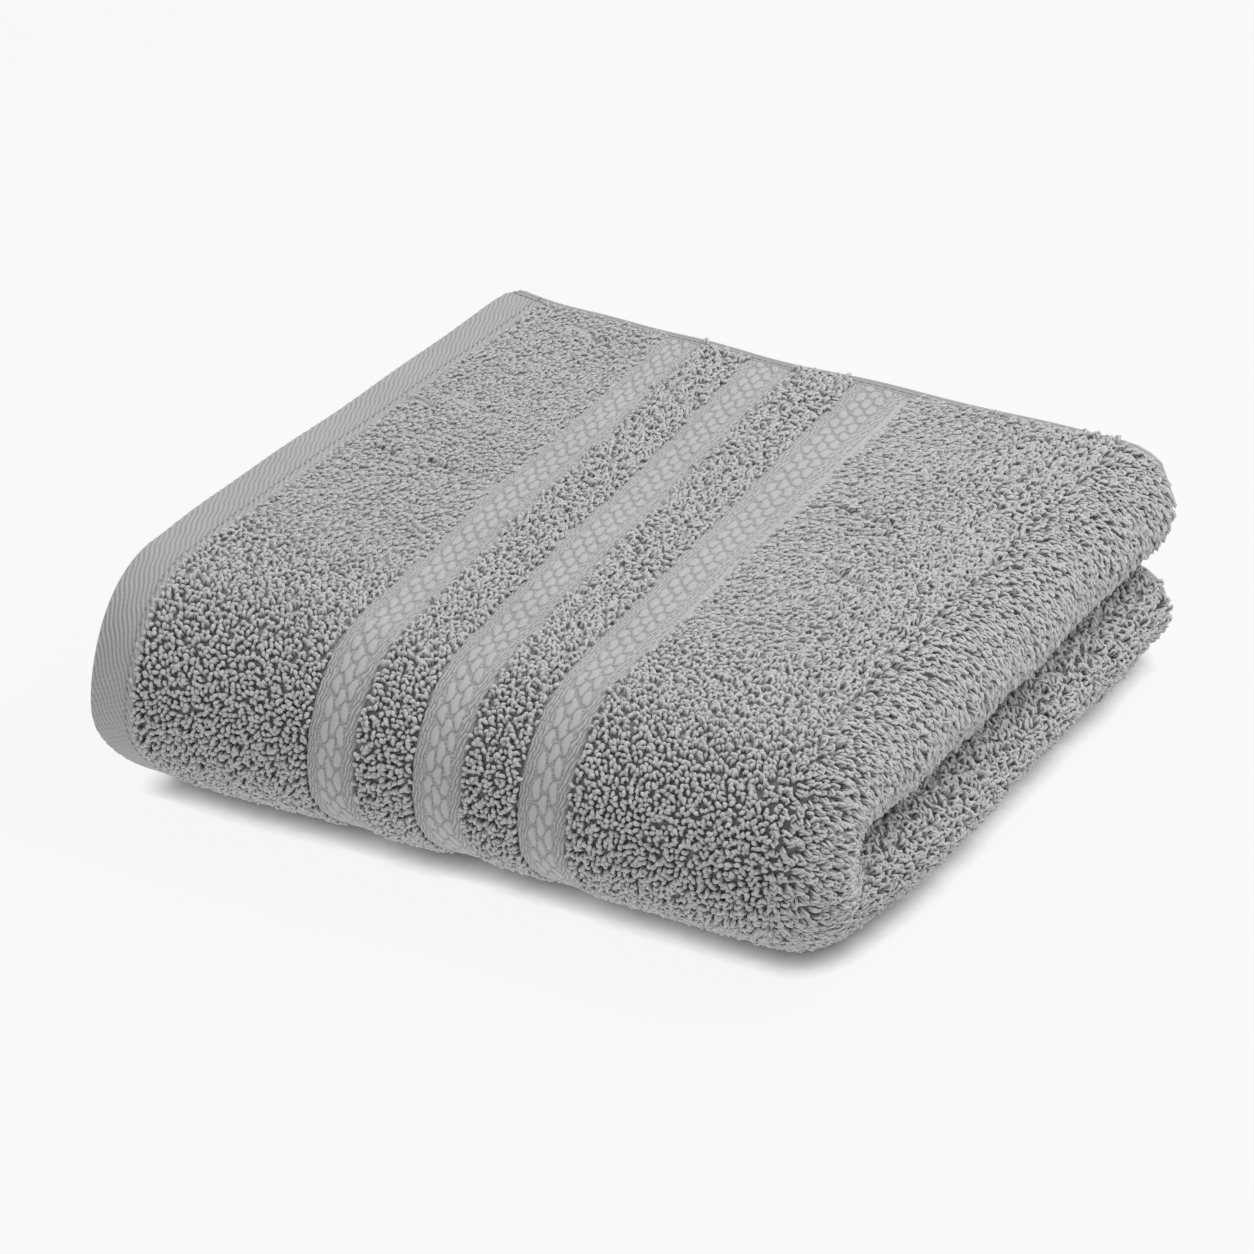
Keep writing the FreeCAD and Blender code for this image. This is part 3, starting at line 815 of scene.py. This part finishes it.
def stitches(name, middle, forward, outward, length, body=None):
    """A row of lockstitches: each a short rounded bar of thread that bows up a little.

    middle is where each stitch lies, forward its own direction and outward the cloth's normal.
    """
    rings, sides = 6, 6
    t = np.linspace(-1, 1, rings)[None, :, None, None]
    angle = np.linspace(0, 2 * math.pi, sides, endpoint=False)
    side = np.cross(outward, forward)[:, None, None]
    radius = 0.42 * MM * (1 - 0.86 * t ** 4)
    around = side * np.cos(angle)[:, None] + outward[:, None, None] * np.sin(angle)[:, None]
    bow = 0.30 * MM * (1 - t ** 2) - 0.10 * MM
    points = (middle[:, None, None] + forward[:, None, None] * t * length / 2
              + outward[:, None, None] * bow + radius * around)
    count = len(middle)
    offset = (np.arange(count) * rings * sides)[:, None, None]
    faces = [(some[None] + offset).reshape(-1, some.shape[1]) for some in ring_faces(rings, sides)]
    piece = new_piece(name, settle(points).reshape(-1, 3), faces, thread_cotton)
    if body:
        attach(piece, body)
    else:
        bend_with_spine(piece)
    return piece


def make_hem_seam(name, x, height):
    """The row of stitches that holds a hem, from the back edge round the spine to the other."""
    pitch = 3.4 * MM
    flat = DEPTH - 3 * MM
    length = 2 * flat + math.pi * height
    place_ = (np.arange(int(length / pitch)) + 0.5) * pitch
    turn = np.clip((place_ - flat) / height, 0, math.pi)
    y = CREASE_Y + np.where(turn < math.pi / 2, flat - place_, place_ - flat - math.pi * height)
    middle = place(x, height, np.maximum(y, CREASE_Y), turn)
    normal, _, across = directions(0.0, 1.0, turn)
    return stitches(name, middle, across, normal, 2.6 * MM)


def make_side_seam(half, body, turn):
    """The stitches along a side hem of the outer leaf, near the hem's inner edge."""
    x = np.arange(HEM_B[0] + 4 * MM, FOLD_X, 3.4 * MM)
    turns = np.full(x.size, turn)
    middle = place(x, leaf_height(4) + 4.1 * MM, PILE_BACK + 1.6 * MM, turns)
    normal, along, _ = directions(0.0, 1.0, turns)
    return stitches("side_seam_" + half, middle, along, normal, 2.6 * MM, body)


seam_b = make_hem_seam("seam_b", HEM_B[1] - 3.6 * MM, leaf_height(4) + 4.95 * MM)
seam_a = make_hem_seam("seam_a", HEM_A[1] - 3.6 * MM, leaf_height(3) + 1.85 * MM)
seams = [seam_b, seam_a, make_side_seam("upper", UPPER, 0.0),
         make_side_seam("lower", LOWER, math.pi)]

# ---------------------------------------------------------------- the CAD parts that the pieces above replace, hidden

for half in ("upper", "spine", "lower"):
    for zone in ("terry_b1", "terry_b2", "terry_b3", "field_b"):
        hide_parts("%s_%s" % (zone, half))
    for number in (1, 2, 3):
        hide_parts("band_b%d_%s" % (number, half))
    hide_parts("hem_b_" + half)
    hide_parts("hem_a_" + half)
    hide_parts("border_a_" + half)
    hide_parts("terry_a_" + half, "field_a_" + half, "middle_loop_" + half,
                "inner_fold_" + half, "outer_fold_" + half)
    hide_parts("seam_b_" + half)
    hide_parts("seam_a_" + half)
for half, piece in zip(("upper", "lower"), side_hems):
    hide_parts("side_hem_" + half)

# ---------------------------------------------------------------- floor, light, camera

bpy.context.scene.view_settings.view_transform = "Standard"


def make_floor():
    """A wide pale floor under the towel. It glows evenly, and its glow is dimmed by ambient occlusion
    within 12 mm of the towel: a painted contact shadow.
    """
    mesh = bpy.data.meshes.new("floor")
    size = 9.0
    mesh.from_pydata([(-size, -size, 0), (size, -size, 0), (size, size, 0), (-size, size, 0)], [],
                     [(0, 1, 2, 3)])
    floor = bpy.data.objects.new("floor", mesh)
    bpy.context.scene.collection.objects.link(floor)
    material, tree, shader = new_material("pale_floor")
    # Painted contact shadow: ambient occlusion dims the floor's glow near the towel.
    painted_contact_shadow = tree.nodes.new("ShaderNodeAmbientOcclusion")
    painted_contact_shadow.inputs["Distance"].default_value = 12 * MM
    painted_contact_shadow.samples = 8
    tree.links.new(painted_contact_shadow.outputs["Color"], shader.inputs["Emission Color"])
    shader.inputs["Emission Strength"].default_value = 0.895
    shader.inputs["Base Color"].default_value = (0.05, 0.05, 0.05, 1)
    shader.inputs["Roughness"].default_value = 1.0
    shader.inputs["Specular IOR Level"].default_value = 0.0
    mesh.materials.append(material)


def make_light(name, size, power, position, target=(0, 0, 0.05), colour=(1, 1, 1)):
    """A square soft light at a place, turned to a target."""
    light = bpy.data.lights.new(name, "AREA")
    light.size = size
    light.energy = power
    light.color = colour
    lamp = bpy.data.objects.new(name, light)
    lamp.location = position
    way = Vector(target) - Vector(position)
    lamp.rotation_euler = way.to_track_quat("-Z", "Y").to_euler()
    bpy.context.scene.collection.objects.link(lamp)


def make_world(strength):
    """An even white surrounding."""
    world = bpy.data.worlds.new("studio")
    world.use_nodes = True
    background = world.node_tree.nodes["Background"]
    background.inputs["Color"].default_value = (1, 1, 1, 1)
    background.inputs["Strength"].default_value = strength
    bpy.context.scene.world = world


def make_camera():
    """A long lens from the front right, a little above."""
    azimuth, elevation, distance = math.radians(28.5), math.radians(28.45), 2.6
    away = Vector((math.sin(azimuth) * math.cos(elevation),
                   -math.cos(azimuth) * math.cos(elevation), math.sin(elevation)))
    right = Vector((math.cos(azimuth), math.sin(azimuth), 0))
    up = away.cross(right)
    target = Vector((0, 0.0289, 0.033)) - right * 0.0208 + up * 0.0075
    camera = bpy.data.cameras.new("camera")
    camera.lens = 169.1
    camera.sensor_width = 36
    seen = bpy.data.objects.new("camera", camera)
    seen.location = target + away * distance
    seen.rotation_euler = (-away).to_track_quat("-Z", "Y").to_euler()
    bpy.context.scene.collection.objects.link(seen)
    bpy.context.scene.camera = seen


make_floor()
make_world(0.68)
make_light("soft_top", 1.0, 18.3, (0.74, 0.35, 1.60))
make_camera()
